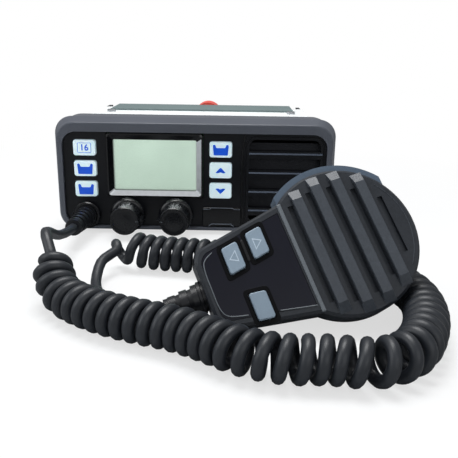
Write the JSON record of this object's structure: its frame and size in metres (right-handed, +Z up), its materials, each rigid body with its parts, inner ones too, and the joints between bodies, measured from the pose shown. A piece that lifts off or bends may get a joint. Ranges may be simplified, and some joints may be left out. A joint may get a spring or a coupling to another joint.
{
  "type": "vhf marine radio",
  "caption": "Fixed-mount marine VHF radio with display, six keys, two knobs and louvred speaker, and a fist microphone on a curly cord lying in front of it.",
  "frame": {"origin": "on the table, under the middle of the radio's chassis", "axes": "+X to the radio's right as seen from the front, +Y from the front panel to the rear connectors, +Z up; the microphone lies in front, towards -Y"},
  "size_m": [0.1832, 0.2969, 0.065],
  "materials": {
    "frame_grey": "satin grey moulding",
    "panel_black": "fine grain, near black",
    "gloss_black": "gloss",
    "knob_black": "satin",
    "key_white": "satin, lit from behind",
    "keypad_rubber": "matte",
    "glass": "clear",
    "lcd": "pale grey green",
    "diffuser": "milky",
    "board_green": "solder mask",
    "steel": "plated",
    "aluminium_cast": "cast, painted",
    "plate_grey": "matte paint",
    "brass_nickel": "plated",
    "cap_red": "matte",
    "rubber_black": "matte",
    "cord": "matte",
    "mic_black": "fine grain",
    "mic_panel": "gloss, blue black",
    "mic_key": "matte steel blue",
    "paper": "woven",
    "magnet": "plated"
  },
  "bodies": {
    "radio": {"antenna_socket": "brass_nickel", "backlight_diffuser": "diffuser", "board_posts": "steel", "board_screws": "steel", "board_standoffs": "steel", "boot_lock_ring": "steel", "chassis": "aluminium_cast", "chassis_screws": "steel", "curly_lead": "cord", "face_plate": "panel_black", "front_board": "board_green", "front_frame": "frame_grey", "keypad_mat_left": "keypad_rubber", "keypad_mat_right": "keypad_rubber", "label_plate": "gloss_black", "lcd_bezel": "gloss_black", "lcd_panel": "lcd", "lcd_polariser": "lcd", "lcd_window": "glass", "main_board": "board_green", "mic_lead": "cord", "panel_gasket": "rubber_black", "power_gland": "rubber_black", "power_module": "magnet", "radio_boot": "rubber_black", "radio_lead": "cord", "rear_plate": "plate_grey", "shield_can": "steel", "speaker_cone": "paper", "speaker_frame": "magnet", "speaker_grille": "panel_black", "speaker_jack": "brass_nickel", "speaker_mesh": "steel", "squelch_pot": "steel", "top_cover": "plate_grey", "volume_pot": "steel"},
    "volume": {"volume_knob": "knob_black", "volume_shaft": "steel"},
    "squelch": {"squelch_knob": "knob_black", "squelch_shaft": "steel"},
    "microphone": {"mic_front_shell": "mic_black", "mic_back_shell": "mic_black", "mic_face_panel": "mic_panel", "mic_keypad_mat": "keypad_rubber", "mic_board": "board_green", "mic_capsule": "steel", "hanger_stud": "mic_black", "mic_boot": "rubber_black"},
    "key_16": {"key_16": "key_white"},
    "key_channel": {"key_channel": "key_white"},
    "key_power": {"key_power": "key_white"},
    "key_scan": {"key_scan": "key_white"},
    "key_up": {"key_up": "key_white"},
    "key_down": {"key_down": "key_white"},
    "antenna_cap": {"antenna_cap": "cap_red"},
    "mic_down_key": {"mic_down_key": "mic_key"},
    "mic_up_key": {"mic_up_key": "mic_key"},
    "mic_square_key": {"mic_square_key": "mic_key"},
    "ptt_lever": {"ptt_lever": "mic_black"}
  },
  "joints": [
    {"name": "key_16_press", "type": "slide", "parent": "radio", "child": "key_16", "axis": [0, 1, 0], "range_m": [0, 0.0008], "stiffness_N_per_m": 1200},
    {"name": "key_channel_press", "type": "slide", "parent": "radio", "child": "key_channel", "axis": [0, 1, 0], "range_m": [0, 0.0008], "stiffness_N_per_m": 1200},
    {"name": "key_power_press", "type": "slide", "parent": "radio", "child": "key_power", "axis": [0, 1, 0], "range_m": [0, 0.0008], "stiffness_N_per_m": 1200},
    {"name": "key_scan_press", "type": "slide", "parent": "radio", "child": "key_scan", "axis": [0, 1, 0], "range_m": [0, 0.0008], "stiffness_N_per_m": 1200},
    {"name": "key_up_press", "type": "slide", "parent": "radio", "child": "key_up", "axis": [0, 1, 0], "range_m": [0, 0.0008], "stiffness_N_per_m": 1200},
    {"name": "key_down_press", "type": "slide", "parent": "radio", "child": "key_down", "axis": [0, 1, 0], "range_m": [0, 0.0008], "stiffness_N_per_m": 1200},
    {"name": "volume_turn", "type": "hinge", "parent": "radio", "child": "volume", "pos_m": [-0.0374, -0.055, 0.0112], "axis": [0, 1, 0], "range_deg": [-240, 60]},
    {"name": "squelch_turn", "type": "hinge", "parent": "radio", "child": "squelch", "pos_m": [-0.0103, -0.055, 0.0112], "axis": [0, 1, 0], "range_deg": [-60, 240]},
    {"name": "cap_pull", "type": "slide", "parent": "radio", "child": "antenna_cap", "axis": [0, 1, 0], "range_m": [0, 0.03]},
    {"name": "mic_lift", "type": "slide", "parent": "radio", "child": "microphone", "axis": [0, 0, 1], "range_m": [0, 0.12]},
    {"name": "mic_down_key_press", "type": "slide", "parent": "microphone", "child": "mic_down_key", "axis": [-0.094, 0.8076, -0.5821], "range_m": [0, 0.0006], "stiffness_N_per_m": 1200},
    {"name": "mic_up_key_press", "type": "slide", "parent": "microphone", "child": "mic_up_key", "axis": [-0.094, 0.8076, -0.5821], "range_m": [0, 0.0006], "stiffness_N_per_m": 1200},
    {"name": "mic_square_key_press", "type": "slide", "parent": "microphone", "child": "mic_square_key", "axis": [-0.094, 0.8076, -0.5821], "range_m": [0, 0.0006], "stiffness_N_per_m": 1200},
    {"name": "ptt_press", "type": "slide", "parent": "microphone", "child": "ptt_lever", "axis": [0.3813, -0.5109, -0.7705], "range_m": [0, 0.001], "stiffness_N_per_m": 1500}
  ]
}
